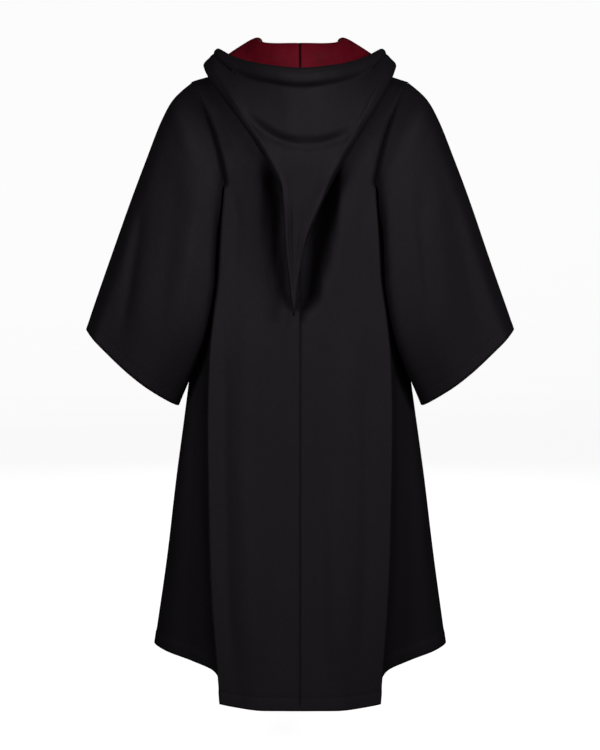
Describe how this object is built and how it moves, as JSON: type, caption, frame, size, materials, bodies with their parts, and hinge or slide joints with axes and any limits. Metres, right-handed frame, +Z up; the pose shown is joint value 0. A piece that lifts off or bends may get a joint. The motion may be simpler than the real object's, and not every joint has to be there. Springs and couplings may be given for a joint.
{
  "type": "wizard robe",
  "caption": "Long black hooded robe, filled out as worn: flat pressed back, flared sides, wide bell sleeves, and a pointed hood lined in dark red hanging down the back.",
  "frame": {"origin": "where the wearer's shoulders carry the robe: midway between the two points where the shoulder seams meet the neckline", "axes": "+Z up along the robe, +X towards the wearer's left, -Y the way the wearer faces, so the hood hangs on the +Y side"},
  "size_m": [0.881, 0.4484, 1.3378],
  "materials": {
    "black_cloth": "matt crepe cloth with a faint sheen",
    "red_lining": "smooth satin"
  },
  "bodies": {
    "root": {"back_left": "black_cloth", "back_right": "black_cloth", "front_left": "black_cloth", "front_right": "black_cloth", "sleeve_left": "black_cloth", "sleeve_right": "black_cloth", "hood": "black_cloth", "hood_lining_left": "red_lining", "hood_lining_right": "red_lining"}
  },
  "joints": []
}
